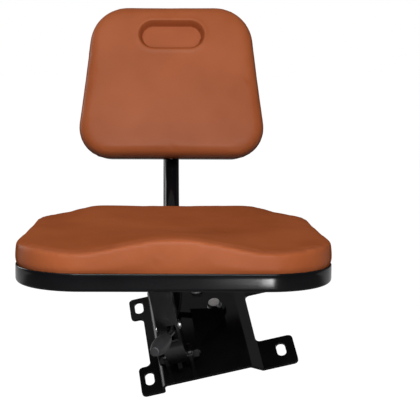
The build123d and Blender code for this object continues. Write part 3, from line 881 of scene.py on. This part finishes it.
grip = {
    "length": 58.0,
    "neck": 7.0,
    "belly": 10.5,
    "bellyShare": 0.4,
    "end": 6.0,
    "endRadius": 1.8,
    "endFlatness": 0.6,
    "mouthRadius": 4.2,
    "endMiddle": 2.0,
    "yaw": 15.0,
    "rodBend": (43.0, -223.0, 58.0),
    "fromBend": 30.0,
}


def makeGrip():
    # a smooth outline from neck through belly to a rounded flat end, turned round the rod
    share = np.linspace(0, 1, 40)
    stations, radii = [0, grip["bellyShare"], 1.0], [grip["neck"], grip["belly"], grip["end"]]
    bend = np.poly1d(np.polyfit(stations, radii, 2))
    angles = np.linspace(0, math.pi / 2, 7)[1:]
    length, endRadius = grip["length"], grip["endRadius"]
    endDepth = endRadius * grip["endFlatness"]
    endCurve = bend(1.0) - endRadius * (1 - np.cos(angles))
    radius = np.concatenate([[grip["mouthRadius"]], bend(share), endCurve, [grip["endMiddle"]]])
    place = np.concatenate([[0.0], share * length, length + endDepth * np.sin(angles), [length + endDepth]])
    yaw = math.radians(grip["yaw"])
    ahead = np.array([-math.sin(yaw), -math.cos(yaw), 0.0])
    across, up = np.array([math.cos(yaw), -math.sin(yaw), 0.0]), np.array([0.0, 0.0, 1.0])
    turn = np.linspace(0, 2 * math.pi, 48, endpoint=False)
    circle = np.cos(turn)[:, None] * across + np.sin(turn)[:, None] * up
    base = np.array(grip["rodBend"]) + ahead * grip["fromBend"]
    points = base + place[:, None, None] * ahead + radius[:, None, None] * circle
    piece = outwards(meshFromGrid("leverGrip", fromRolled(points)))
    dress(piece, gripGrey)
    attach(piece, "lever")
    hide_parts("lever_grip")


makeTube()
makeWeld()
makeGrip()
print("tube and grip done")


# Stage: pale floor well below the bracket, white surroundings, soft lamps
stageLook = {
    "floorDrop": 0.25,
    "floorSize": 60.0,
    "floorBase": 0.12,
    "floorRoughness": 0.9,
    "glow": 0.98,
    "fillSpan": (-0.9, 0.4),  # rearward part of the direction
    "fillLevels": (0.05, 0.16),
    "glossSpan": (0.35, 0.85),  # upward part of the direction
    "glossLevels": (0.06, 0.35),
    "floorGlossSpan": (0.2, 1.0),  # metres rearward
    "floorGlossLevels": (0.08, 0.5),
}


def combined(tree, operation, first, second):
    node = addNode(tree, "ShaderNodeMath", operation=operation)
    tree.links.new(first, node.inputs[0])
    tree.links.new(second, node.inputs[1])
    return node.outputs[0]


def seenRays(tree):
    # 1 for rays that the camera sends out, straight or through something clear, and 1 for mirrored rays
    path = addNode(tree, "ShaderNodeLightPath").outputs
    seen = combined(tree, "MAXIMUM", path["Is Camera Ray"], path["Is Transmission Ray"])
    return seen, path["Is Glossy Ray"]


def makeFloor():
    # a large level square: white to the camera, brighter behind the seat than in front of it for gloss,
    # and clear from below
    size, level = stageLook["floorSize"], cadLow[2] - stageLook["floorDrop"]
    ends = np.linspace(-size / 2, size / 2, 3)
    x, y = np.meshgrid(ends, ends)
    grid = np.stack([x, y, np.full_like(x, level)], -1)
    floor = meshFromGrid("paleFloor", grid, closedColumns=False, capEnds=False, smooth=False)
    material, tree, shader = newMaterial("paleFloor")
    shader.inputs["Base Color"].default_value = (*[stageLook["floorBase"]] * 3, 1.0)
    shader.inputs["Roughness"].default_value = stageLook["floorRoughness"]
    shader.inputs["Emission Color"].default_value = (1.0, 1.0, 1.0, 1.0)
    seen, glossy = seenRays(tree)
    split = addNode(tree, "ShaderNodeSeparateXYZ")
    tree.links.new(objectCoords(tree), split.inputs["Vector"])
    spans = (*stageLook["floorGlossSpan"], *stageLook["floorGlossLevels"])
    rearward = softStep(tree, split.outputs["Y"], *spans)
    either = combined(tree, "MAXIMUM", seen, combined(tree, "MULTIPLY", rearward, glossy))
    tree.links.new(rangeOf(tree, either, 0.0, stageLook["glow"]), shader.inputs["Emission Strength"])
    clear = addNode(tree, "ShaderNodeBsdfTransparent")
    sides = addNode(tree, "ShaderNodeMixShader")
    tree.links.new(addNode(tree, "ShaderNodeNewGeometry").outputs["Backfacing"], sides.inputs["Fac"])
    tree.links.new(shader.outputs["BSDF"], sides.inputs[1])
    tree.links.new(clear.outputs["BSDF"], sides.inputs[2])
    tree.links.new(sides.outputs["Shader"], tree.nodes["Material Output"].inputs["Surface"])
    dress(floor, material)


def makeWorld():
    # white to the camera; for gloss, brighter overhead than at the horizon;
    # as fill light, brighter behind the seat than in front of it
    world = bpy.data.worlds.new("studio")
    bpy.context.scene.world = world
    world.use_nodes = True
    tree = world.node_tree
    background = tree.nodes["Background"]
    seen, glossy = seenRays(tree)
    direction = addNode(tree, "ShaderNodeTexCoord").outputs["Generated"]
    split = addNode(tree, "ShaderNodeSeparateXYZ")
    tree.links.new(direction, split.inputs["Vector"])
    hidden = addNode(tree, "ShaderNodeMix", data_type="FLOAT")
    fill = softStep(tree, split.outputs["Y"], *stageLook["fillSpan"], *stageLook["fillLevels"])
    mirrored = softStep(tree, split.outputs["Z"], *stageLook["glossSpan"], *stageLook["glossLevels"])
    tree.links.new(glossy, hidden.inputs["Factor"])
    tree.links.new(fill, hidden.inputs["A"])
    tree.links.new(mirrored, hidden.inputs["B"])
    background.inputs["Color"].default_value = (1.0, 1.0, 1.0, 1.0)
    level = combined(tree, "MAXIMUM", seen, hidden.outputs["Result"])
    tree.links.new(level, background.inputs["Strength"])


def areaLamp(name, place, target, width, height, power):
    lamp = bpy.data.lights.new(name, "AREA")
    lamp.shape = "RECTANGLE"
    lamp.size, lamp.size_y = width, height
    lamp.energy = power
    thing = bpy.data.objects.new(name, lamp)
    thing.location = place
    thing.rotation_euler = (Vector(target) - Vector(place)).to_track_quat("-Z", "Y").to_euler()
    bpy.context.scene.collection.objects.link(thing)


makeFloor()
makeWorld()
partMiddle = tuple((low + high) / 2 for low, high in zip(cadLow, cadHigh))
lamps = {  # place and target in metres, width and height, power in watts
    "frontSoftbox": ((0.1, -2.25, 1.28), partMiddle, 1.5, 0.9, 49.0),
    "highLeftSoftbox": ((-0.7, -1.3, 2.0), partMiddle, 1.0, 0.8, 9.0),
    "lowRightPanel": ((0.40, -1.85, -0.11), (0.18, -0.3, 0.14), 0.19, 0.3, 6.0),
    "leftRearSoftbox": ((-1.7, 1.1, 0.8), (0.05, -0.1, 0.06), 0.8, 1.2, 10.0),
}
for lampName, settings in lamps.items():
    areaLamp(lampName, *settings)

# Camera: the photograph's viewing angle, with the seat left of the frame's middle
view = {
    "fromSeat": (-16.05, -1663.19, 270.6),
    "yaw": 0.0095,
    "pitch": 0.1125,
    "roll": 0.0038,
    "focalPixels": 1257.0,
    "framePixels": 420.0,
    "aimPixel": (173.0, 190.0),
    "sensorWidth": 36.0,
    "clip": (0.05, 60.0),
}


def makeCamera():
    data = bpy.data.cameras.new("frontCamera")
    data.sensor_width = view["sensorWidth"]
    data.sensor_fit = "HORIZONTAL"
    data.lens = view["focalPixels"] * data.sensor_width / view["framePixels"]
    half = view["framePixels"] / 2
    data.shift_x = (half - view["aimPixel"][0]) / view["framePixels"]
    data.shift_y = (view["aimPixel"][1] - half) / view["framePixels"]
    data.clip_start, data.clip_end = view["clip"]
    camera = bpy.data.objects.new("frontCamera", data)
    yaw, pitch, roll = view["yaw"], view["pitch"], view["roll"]
    ahead = Vector((math.sin(yaw) * math.cos(pitch), math.cos(yaw) * math.cos(pitch), -math.sin(pitch)))
    camera.location = fromSeat(view["fromSeat"])
    camera.rotation_euler = ahead.to_track_quat("-Z", "Y").to_euler()
    camera.rotation_euler.rotate_axis("Z", roll)
    bpy.context.scene.collection.objects.link(camera)
    bpy.context.scene.camera = camera


makeCamera()
bpy.context.scene.view_settings.view_transform = "Standard"

bpy.context.view_layer.update()
print("scene ready")
